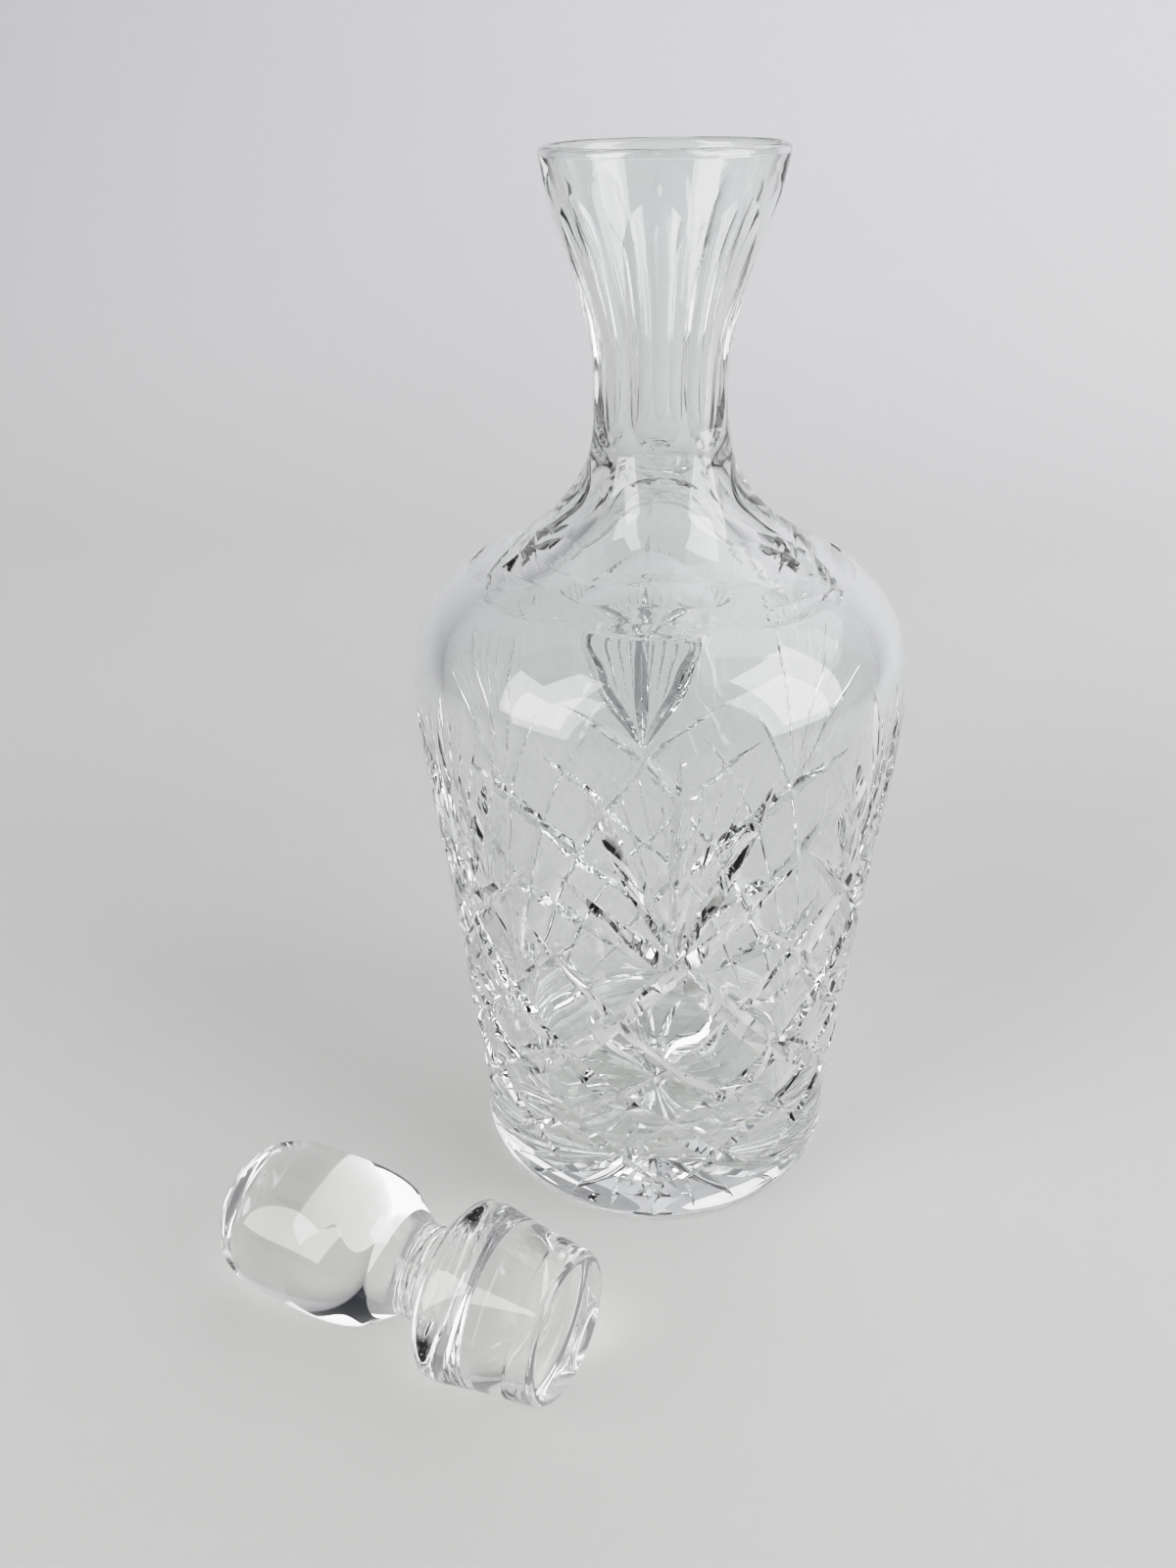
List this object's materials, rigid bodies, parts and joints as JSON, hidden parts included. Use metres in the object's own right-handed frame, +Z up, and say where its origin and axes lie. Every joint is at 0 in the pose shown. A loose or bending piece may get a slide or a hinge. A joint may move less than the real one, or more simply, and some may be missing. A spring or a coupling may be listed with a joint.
{
  "type": "wine decanter",
  "caption": "Cut crystal wine decanter: tapering round body with a cut lattice and fans, round shoulder, fluted neck with a flared mouth, and a loose solid glass stopper beside it.",
  "frame": {"origin": "centre of the decanter's flat underside, at the table surface", "axes": "+Z up along the decanter's axis; the loose stopper lies on the -X, -Y side, its plug pointing towards +X and a little towards -Y"},
  "size_m": [0.16, 0.1677, 0.245],
  "materials": {
    "decanter_body": "polished clear cut crystal",
    "stopper": "polished clear solid crystal"
  },
  "bodies": {
    "decanter": {"decanter_body": "decanter_body"},
    "stopper": {"stopper": "stopper"}
  },
  "joints": [
    {"name": "stopper_lift", "type": "slide", "parent": "decanter", "child": "stopper", "axis": [0, 0, 1], "range_m": [0, 0.27]}
  ]
}
